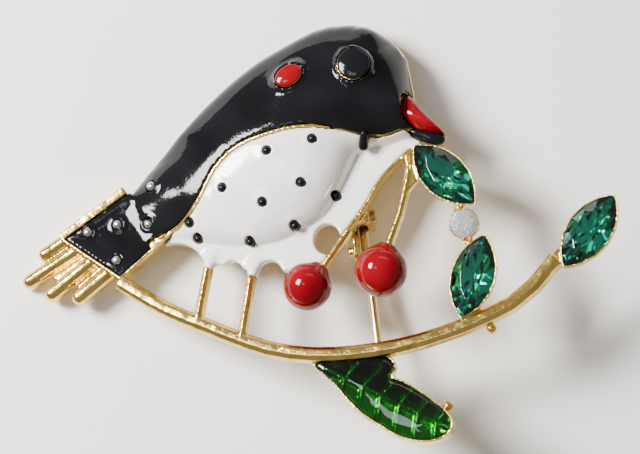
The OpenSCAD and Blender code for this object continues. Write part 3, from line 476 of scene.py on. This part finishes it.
class BroochSizes(bpy.types.PropertyGroup):
    """Sizes of the finishing work."""

    metal_grain: length("Metal grain", "Size of the casting's small faces", 0.00010)
    enamel_grain: length("Enamel grain", "Size of the enamel's small faces", 0.00012)
    small_grain: length("Small grain", "Size of the beak's and the spot's small faces", 0.00007)
    draw_up_belly: length("White drawn up", "Rise of the white around a belly dot", 0.00022)
    draw_up_tail: length("Black drawn up", "Rise of the black around a tail stud", 0.00022)
    flank_fill: length("Flank fill", "How much fuller the back's flank stands", 0.0006)
    panel_dip: length("Panel dip", "How far the tail panel's enamel sags", 0.00026)
    stone_edge: length("Stone edge", "Width of the polished edge between facets", 0.000015)
    dot_radius: length("Dot radius", "Radius of a belly dot", 0.00046)
    stud_radius: length("Stud radius", "Radius of a tail stud", 0.00053)
    drop_radius: length("Drop radius", "Radius of the drop of black at the throat", 0.0005)
    camera_lens: bpy.props.FloatProperty(
        name="Lens", description="Focal length of the camera", default=200.0, min=50.0,
        subtype="DISTANCE_CAMERA")


class BroochColours(bpy.types.PropertyGroup):
    """Colours of the brooch and its table."""

    gold: shade("Gold", "Polished gold plate", (0.86, 0.60, 0.17))
    gold_low: shade("Gold, low", "Plate in the low spots", (0.34, 0.21, 0.04))
    pin: shade("Pin", "Pin wire and rivet", (0.86, 0.68, 0.32))
    stud: shade("Stud", "Tail studs", (0.72, 0.72, 0.74))
    black: shade("Black", "Black enamel", (0.0035, 0.0036, 0.0045))
    white: shade("White", "White enamel", (0.86, 0.85, 0.83))
    white_low: shade("White, low", "White enamel where it is thin", (0.78, 0.76, 0.72))
    red: shade("Red", "Red enamel", (0.20, 0.0001, 0.005))
    leaf: shade("Leaf", "Transparent green of the leaf", (0.008, 0.50, 0.03))
    stone: shade("Stone", "Green of the cut stones", (0.006, 0.44, 0.30))
    stone_foil: shade("Stone foil", "Foil behind the green stones", (0.55, 1.0, 0.95))
    crystal: shade("Crystal", "Clear stone", (1.0, 1.0, 1.0))
    crystal_foil: shade("Crystal foil", "Foil behind the clear stone", (1.0, 1.0, 1.0))
    table: shade("Table", "Pale table top", (0.94, 0.92, 0.89))


# The pieces

class MakeCasting(bpy.types.Operator):
    """Make the gold casting with its rounded, polished edges"""

    bl_idname = "brooch.make_casting"
    bl_label = "Casting"

    def execute(self, context):
        sizes = context.scene.brooch_sizes
        casting = copy_of("frame", "gold_casting")
        even_skin(casting, sizes.metal_grain, 3, faces=190000)
        round_back(casting)
        dress(casting, cast_gold(), "gold", "frame")
        return {"FINISHED"}


def panel_sag(piece, depth):
    """Let the tail panel's enamel sag between its rim and the studs."""
    slope, fade_end = 1.6, 8.2
    points = points_of(piece)
    bird = in_bird(points)
    near = np.full(len(points), 9.0)
    for start, end in zip(np.array(PANEL), np.array(PANEL[1:])):
        side = end - start
        away = bird[:, :2] - start
        t = np.clip(away @ side / (side @ side), 0, 1)
        near = np.minimum(near, np.linalg.norm(away - t[:, None] * side, axis=1))
    share = eased(np.clip(near / slope, 0, 1))
    fade = np.clip((fade_end - bird[:, 0]) / slope, 0, 1)
    points -= (depth * share * fade)[:, None] * np.array(FRONT)
    move_points(piece, points)


def edge_corners():
    """The corners of the solid's back edge, each an angle and a reach from the heart."""
    sector, dent = 0.03, 0.3
    bird = in_bird(points_of(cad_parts["frame"]))
    angle, reach, _ = around_heart(bird[(np.abs(bird[:, 2]) < 0.02) & (bird[:, 0] > 9.0)])
    found = []
    for low in np.arange(0.05, 2.75, sector):
        inside = np.flatnonzero((angle >= low) & (angle < low + sector))
        if len(inside):
            best = inside[np.argmax(reach[inside])]
            found.append((angle[best], reach[best]))
    found = np.array(found)
    kept = [0]
    for i in range(1, len(found) - 1):
        a, b = found[kept[-1]], found[i + 1]
        share = (found[i][0] - a[0]) / (b[0] - a[0])
        if found[i][1] > a[1] + share * (b[1] - a[1]) - dent:
            kept.append(i)
    return found[kept + [len(found) - 1]]


def back_edge():
    """The solid's back edge seen from the front: its angles, its reach, and a smooth reach."""
    corners = edge_corners()
    at = np.linspace(0, 1, 24)[:, None]
    places = corners[:, 1:] * np.stack([np.cos(corners[:, 0]), np.sin(corners[:, 0])], axis=1)
    line = np.concatenate([a + at * (b - a) for a, b in zip(places, places[1:])])
    angles, straight = np.arctan2(line[:, 1], line[:, 0]), np.linalg.norm(line, axis=1)
    steep = np.gradient(corners[:, 1], corners[:, 0])
    smooth = np.empty_like(angles)
    for n, t in enumerate(angles):
        i = min(max(np.searchsorted(corners[:, 0], t) - 1, 0), len(corners) - 2)
        h = corners[i + 1, 0] - corners[i, 0]
        u = min(max((t - corners[i, 0]) / h, 0.0), 1.0)
        smooth[n] = (corners[i, 1] * (1 + 2 * u) * (1 - u) ** 2
                     + corners[i + 1, 1] * u * u * (3 - 2 * u)
                     + h * steep[i] * u * (1 - u) ** 2 - h * steep[i + 1] * u * u * (1 - u))
    return angles, straight, smooth


def round_back(piece):
    """Round the straight runs between the stations of the solid's back edge."""
    band, beyond, most = 3.0, 0.4, 0.5
    angles, straight, smooth = back_edge()
    points = points_of(piece)
    angle, reach, flat = around_heart(in_bird(points))
    edge = np.interp(angle, angles, straight)
    extra = np.clip(np.interp(angle, angles, smooth - straight, 0.0, 0.0), 0.0, most)
    share = np.clip(1 - (edge - reach) / band, 0, 1)
    share[(reach > edge + beyond) | (angle < angles[0]) | (angle > angles[-1])] = 0
    out = (eased(share) * extra / reach)[:, None] * flat * MM
    points += out_of_bird(out[:, 0], out[:, 1])
    move_points(piece, points)


def fill_out(piece, rise):
    """Let the enamel stand a little fuller where it turns down towards the back edge."""
    points = points_of(piece)
    normals = np.empty(points.size)
    piece.data.vertices.foreach_get("normal", normals)
    slope = np.clip(normals.reshape(-1, 3) @ np.array(FRONT), 0, 1)
    angles, straight, _ = back_edge()
    angle, reach, _ = around_heart(in_bird(points))
    outer = np.clip((reach / np.interp(angle, angles, straight) - 0.5) / 0.25, 0, 1)
    outer *= np.clip((angle - angles[0]) / 0.15, 0, 1) * np.clip((2.7 - angle) / 0.2, 0, 1)
    points += (rise * outer * np.sin(np.pi * slope) ** 2)[:, None] * np.array(FRONT)
    move_points(piece, points)


class MakeBlack(bpy.types.Operator):
    """Make the black enamel of the back, head and tail panel"""

    bl_idname = "brooch.make_black"
    bl_label = "Black enamel"

    def execute(self, context):
        sizes = context.scene.brooch_sizes
        black = copy_of("black_enamel", "black_back")
        even_skin(black, sizes.enamel_grain, 12, flows=((150, 0.5 * MM), (450, 2.2 * MM)))
        fill_out(black, sizes.flank_fill)
        round_back(black)
        finish_with(black, "SMOOTH", "Even out", factor=0.5, iterations=4)
        panel_sag(black, sizes.panel_dip)
        places = [middle_of(name) + POST_LINE * FRONT for name in STUDS]
        draw_up(black, places, 1.15 * MM, sizes.draw_up_tail, 0.5 * MM)
        dress(black, black_enamel(), "black_enamel", "black_enamel")
        return {"FINISHED"}


class MakeDrop(bpy.types.Operator):
    """Make the drop of black that hangs from the border at the throat"""

    bl_idname = "brooch.make_drop"
    bl_label = "Throat drop"

    def execute(self, context):
        top, tip = laid(28.46, 13.1, 3.7), laid(28.30, 12.2, 2.85)
        bpy.ops.object.select_all(action="DESELECT")
        bpy.ops.mesh.primitive_uv_sphere_add(segments=36, ring_count=24,
                                             radius=context.scene.brooch_sizes.drop_radius)
        drop = context.active_object
        drop.name = "throat_drop"
        points = points_of(drop)
        run = (tip - top).length
        points[:, 2] = np.where(points[:, 2] > 0, points[:, 2] + run, points[:, 2])
        share = np.clip(points[:, 2] / run, 0, 1)
        points[:, :2] *= (0.8 + 0.2 * share)[:, None]
        move_points(drop, points)
        turn = (tip - top).to_track_quat("Z", "Y").to_matrix().to_4x4()
        drop.data.transform(Matrix.Translation(top) @ turn)
        bpy.ops.object.shade_smooth()
        dress(drop, black_enamel(), "black_enamel")
        return {"FINISHED"}


class MakeWhite(bpy.types.Operator):
    """Make the white enamel of the belly, drawn up around its dots"""

    bl_idname = "brooch.make_white"
    bl_label = "White enamel"

    def execute(self, context):
        sizes = context.scene.brooch_sizes
        white = copy_of("white_enamel", "white_belly")
        even_skin(white, sizes.enamel_grain, 10, flows=((80, 0.4 * MM),))
        places = [middle_of(name) + POST_LINE * FRONT for name in DOTS]
        draw_up(white, places, 1.5 * MM, sizes.draw_up_belly, 0.3 * MM)
        dress(white, white_enamel(), "white_enamel", "white_enamel")
        return {"FINISHED"}


class MakeBeak(bpy.types.Operator):
    """Make the red upper beak and the black lower beak"""

    bl_idname = "brooch.make_beak"
    bl_label = "Beak"

    def execute(self, context):
        sizes = context.scene.brooch_sizes
        upper = copy_of("beak_enamel", "upper_beak")
        even_skin(upper, sizes.small_grain, 8)
        dress(upper, red_enamel(), "red_enamel", "beak_enamel")
        lower = copy_of("lower_beak", "under_beak")
        even_skin(lower, sizes.small_grain, 8)
        dress(lower, black_enamel(), "black_enamel", "lower_beak")
        return {"FINISHED"}


def stand_up(piece, place):
    """Turn a piece so that it stands square to the brooch, and set it in its place."""
    turn = Matrix((ACROSS, ALONG, FRONT)).transposed().to_4x4()
    piece.data.transform(Matrix.Translation(place) @ turn)


def domed_disc(name, radius_x, radius_y, thick, rise):
    """A disc of enamel with a rounded edge and a gently domed top."""
    bpy.ops.object.select_all(action="DESELECT")
    bpy.ops.mesh.primitive_cylinder_add(vertices=48, radius=1.0, depth=thick,
                                        end_fill_type="NGON")
    disc = bpy.context.active_object
    disc.name = name
    bpy.ops.object.mode_set(mode="EDIT")
    mesh = bmesh.from_edit_mesh(disc.data)
    for face in mesh.faces:
        face.select_set(face.normal.z > 0.9)
    bmesh.update_edit_mesh(disc.data)
    # Each ring's inset, in shares of the radius, and its share of the rise
    steps = [(0.06, 0.25), (0.12, 0.2), (0.2, 0.22), (0.25, 0.18), (0.2, 0.1), (0.1, 0.05)]
    for inset, share in steps:
        bpy.ops.mesh.inset(thickness=inset, depth=0.0)
        bpy.ops.transform.translate(value=(0, 0, rise * share))
    bpy.ops.object.mode_set(mode="OBJECT")
    disc.data.transform(Matrix.Diagonal((radius_x, radius_y, 1.0, 1.0)))
    choose(disc)
    finish_with(disc, "BEVEL", "Soft edge", width=0.05 * MM, segments=3,
                limit_method="ANGLE", angle_limit=math.radians(50))
    bpy.ops.object.shade_smooth_by_angle(angle=math.radians(60))
    return disc


class MakeSpotAndEye(bpy.types.Operator):
    """Make the red spot and the black eye in their cups"""

    bl_idname = "brooch.make_spot_and_eye"
    bl_label = "Spot and eye"

    def execute(self, context):
        for node, name, radii, aside, finish, slot in (
                ("red_spot", "cheek_spot", (1.42, 1.01), (-0.04, 0.0, 0.1), red_enamel(),
                 "red_enamel"),
                ("eye", "bird_eye", (1.65, 1.65), (0.08, 0.07, 0.1), black_enamel(),
                 "black_enamel")):
            disc = domed_disc(name, radii[0] * MM, radii[1] * MM, 0.52 * MM, 0.26 * MM)
            disc.data.transform(Matrix.Rotation(BIRD_TURN, 4, "Z"))
            stand_up(disc, middle_of(node) + turned(*aside) * MM)
            dress(disc, finish, slot, node)
        return {"FINISHED"}


class MakeLeaf(bpy.types.Operator):
    """Make the leaf's transparent enamel"""

    bl_idname = "brooch.make_leaf"
    bl_label = "Leaf"

    def execute(self, context):
        sizes = context.scene.brooch_sizes
        leaf = copy_of("leaf_enamel", "leaf_glaze")
        even_skin(leaf, sizes.enamel_grain, 5)
        dress(leaf, clear_green(), "leaf_enamel", "leaf_enamel")
        return {"FINISHED"}


class MakeBerries(bpy.types.Operator):
    """Make the two berries with their drawn-out necks"""

    bl_idname = "brooch.make_berries"
    bl_label = "Berries"

    def execute(self, context):
        sizes = context.scene.brooch_sizes
        finish = red_enamel()
        for node in ("berry_1", "berry_2"):
            berry = copy_of(node, "red_" + node)
            even_skin(berry, sizes.enamel_grain, 10, flows=((260, 1.9 * MM),), at_edges=True)
            dress(berry, finish, "red_enamel", node)
        return {"FINISHED"}


def cut_stone(node, name, edge, front, back):
    """A cut stone: polished edges between its facets, and foil on its lower facets."""
    stone = copy_of(node, name)
    stone.data.materials.append(front)
    stone.data.materials.append(back)
    bpy.ops.object.mode_set(mode="EDIT")
    bpy.ops.mesh.select_all(action="SELECT")
    bpy.ops.mesh.dissolve_limited(angle_limit=math.radians(0.5))
    bpy.ops.object.mode_set(mode="OBJECT")
    finish_with(stone, "BEVEL", "Polished edge", width=edge, segments=1,
                limit_method="ANGLE", angle_limit=math.radians(4))
    for face in stone.data.polygons:
        face.material_index = 1 if face.normal.dot(FRONT) < -0.15 else 0
        face.use_smooth = False
    return stone


class MakeStones(bpy.types.Operator):
    """Make the three pointed oval stones"""

    bl_idname = "brooch.make_stones"
    bl_label = "Green stones"

    def execute(self, context):
        front = glass("green_glass", colour("stone"))
        back = foil("green_foil", colour("stone_foil"), 0.03)
        for node in STONES:
            stone = cut_stone(node, "green_" + node, context.scene.brooch_sizes.stone_edge,
                              front, back)
            dress(stone, front, "green_stone", node)
        return {"FINISHED"}


class MakeCrystal(bpy.types.Operator):
    """Make the round clear stone"""

    bl_idname = "brooch.make_crystal"
    bl_label = "Crystal"

    def execute(self, context):
        front = glass("clear_glass", colour("crystal"), clear=0.8)
        back = foil("silver_foil", colour("crystal_foil"), 0.02)
        stone = cut_stone("crystal", "clear_crystal", context.scene.brooch_sizes.stone_edge,
                          front, back)
        dress(stone, front, "crystal", "crystal")
        return {"FINISHED"}


def domed_post(name, radius, rise, depth):
    """A round post with a domed head, its enamel line at height 0."""
    bpy.ops.object.select_all(action="DESELECT")
    bpy.ops.mesh.primitive_uv_sphere_add(segments=28, ring_count=18, radius=radius)
    post = bpy.context.active_object
    post.name = name
    bpy.ops.object.mode_set(mode="EDIT")
    bpy.ops.mesh.select_all(action="SELECT")
    bpy.ops.mesh.bisect(plane_co=(0, 0, -0.3 * radius), plane_no=(0, 0, 1),
                        clear_inner=True, use_fill=True)
    mesh = bmesh.from_edit_mesh(post.data)
    for face in mesh.faces:
        face.select_set(face.normal.z < -0.9 and len(face.verts) > 8)
    bmesh.update_edit_mesh(post.data)
    bpy.ops.mesh.extrude_region_move(TRANSFORM_OT_translate={"value": (0, 0, -depth)})
    bpy.ops.object.mode_set(mode="OBJECT")
    post.data.transform(Matrix.Translation((0, 0, rise - radius)))
    bpy.ops.object.shade_smooth_by_angle(angle=math.radians(50))
    return post


def set_posts(nodes, label, radius, rise, finish, slot):
    """Stand a copy of one post in the place of each node."""
    first = domed_post(label + "_pattern", radius, rise, 0.5 * MM)
    for number, node in enumerate(nodes, 1):
        post = bpy.data.objects.new(f"{label}_{number}", first.data.copy())
        bpy.context.scene.collection.objects.link(post)
        stand_up(post, middle_of(node) + POST_LINE * FRONT)
        dress(post, finish, slot, node)
    bpy.data.objects.remove(first)


class MakeDots(bpy.types.Operator):
    """Make the black dots of the belly"""

    bl_idname = "brooch.make_dots"
    bl_label = "Belly dots"

    def execute(self, context):
        radius = context.scene.brooch_sizes.dot_radius
        set_posts(DOTS, "belly_bead", radius, 0.36 * MM, black_enamel(), "black_enamel")
        return {"FINISHED"}


class MakeStuds(bpy.types.Operator):
    """Make the silvery studs of the tail"""

    bl_idname = "brooch.make_studs"
    bl_label = "Tail studs"

    def execute(self, context):
        radius = context.scene.brooch_sizes.stud_radius
        set_posts(STUDS, "tail_bead", radius, 0.34 * MM, bright_stud(), "stud")
        return {"FINISHED"}


class FinishPin(bpy.types.Operator):
    """Give the pin and its rivet their metal"""

    bl_idname = "brooch.finish_pin"
    bl_label = "Pin"

    def execute(self, context):
        metal = pin_metal()
        for node in ("pin_stem", "hinge_rivet"):
            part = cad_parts[node]
            if not part.material_slots:
                raise RuntimeError(f"{node} has no material slot")
            for slot in part.material_slots:
                slot.material = metal
        return {"FINISHED"}


def softbox(name, place, size_x, size_y, power, tint=(1, 1, 1)):
    """A flat soft light that faces the brooch."""
    light = bpy.data.lights.new(name, "AREA")
    light.shape, light.size, light.size_y = "RECTANGLE", size_x, size_y
    light.energy, light.color = power, tint
    lamp = bpy.data.objects.new(name, light)
    bpy.context.scene.collection.objects.link(lamp)
    lamp.location = place
    lamp.rotation_euler = (-Vector(place)).to_track_quat("-Z", "Y").to_euler()


class MakeStage(bpy.types.Operator):
    """Make the table, the lights and the camera"""

    bl_idname = "brooch.make_stage"
    bl_label = "Stage"

    def execute(self, context):
        bpy.ops.object.select_all(action="DESELECT")
        bpy.ops.mesh.primitive_plane_add(size=4.0)
        table = bpy.context.active_object
        table.name = "table_top"
        table.data.materials.append(pale_table())
        softbox("window", (-0.204, 0.084, 0.204), 0.11, 0.09, 3.3, (1.0, 0.985, 0.96))
        softbox("ceiling", (-0.14, 0.06, 0.37), 0.05, 0.09, 0.10, (0.80, 0.90, 1.0))
        softbox("far_wall", (0.06, 0.32, 0.23), 0.22, 0.05, 0.10, (0.92, 0.96, 1.0))
        world = bpy.data.worlds.new("room_light")
        world.use_nodes = True
        sky = world.node_tree.nodes["Background"]
        sky.inputs["Color"].default_value = (1.0, 0.97, 0.93, 1.0)
        sky.inputs["Strength"].default_value = 0.34
        context.scene.world = world
        right = turned(0.98374, 0.02308, -0.17843)
        up = turned(0.02308, 0.96744, 0.25231)
        back = turned(0.17845, -0.25233, 0.95118)
        lens, sensor, half_view = context.scene.brooch_sizes.camera_lens, 36.0, 0.032
        far = half_view / (sensor / 2 / lens)
        data = bpy.data.cameras.new("photo_camera")
        data.lens, data.sensor_width, data.sensor_fit = lens, sensor, "HORIZONTAL"
        data.clip_start, data.clip_end = 0.01, 20.0
        camera = bpy.data.objects.new("photo_camera", data)
        context.scene.collection.objects.link(camera)
        place = laid(23.33, 4.25) + (0.2 * right + 0.4 * up + 2.5 * back) * MM + far * back
        turn = Matrix((right, up, back)).transposed().to_4x4()
        camera.matrix_world = Matrix.Translation(place) @ turn
        context.scene.camera = camera
        return {"FINISHED"}


class BroochPanel(bpy.types.Panel):
    """Lists the brooch's sizes, colours and pieces."""

    bl_idname = "VIEW3D_PT_brooch"
    bl_label = "Bird Brooch"
    bl_space_type = "VIEW_3D"
    bl_region_type = "UI"
    bl_category = "Brooch"

    def draw(self, context):
        for group in (context.scene.brooch_sizes, context.scene.brooch_colours):
            box = self.layout.box()
            for name in group.__annotations__:
                box.prop(group, name)
        for maker in MAKERS:
            self.layout.operator(maker.bl_idname)


MAKERS = (MakeCasting, MakeBlack, MakeDrop, MakeWhite, MakeBeak, MakeSpotAndEye, MakeLeaf,
          MakeBerries, MakeStones, MakeCrystal, MakeDots, MakeStuds, FinishPin, MakeStage)
CLASSES = (BroochSizes, BroochColours) + MAKERS + (BroochPanel,)


def register():
    for kind in CLASSES:
        bpy.utils.register_class(kind)
    bpy.types.Scene.brooch_sizes = bpy.props.PointerProperty(type=BroochSizes)
    bpy.types.Scene.brooch_colours = bpy.props.PointerProperty(type=BroochColours)


def unregister():
    del bpy.types.Scene.brooch_colours
    del bpy.types.Scene.brooch_sizes
    for kind in reversed(CLASSES):
        bpy.utils.unregister_class(kind)


def main():
    register()
    for maker in MAKERS:
        group, name = maker.bl_idname.split(".")
        getattr(getattr(bpy.ops, group), name)()


if __name__ == "__main__":
    main()
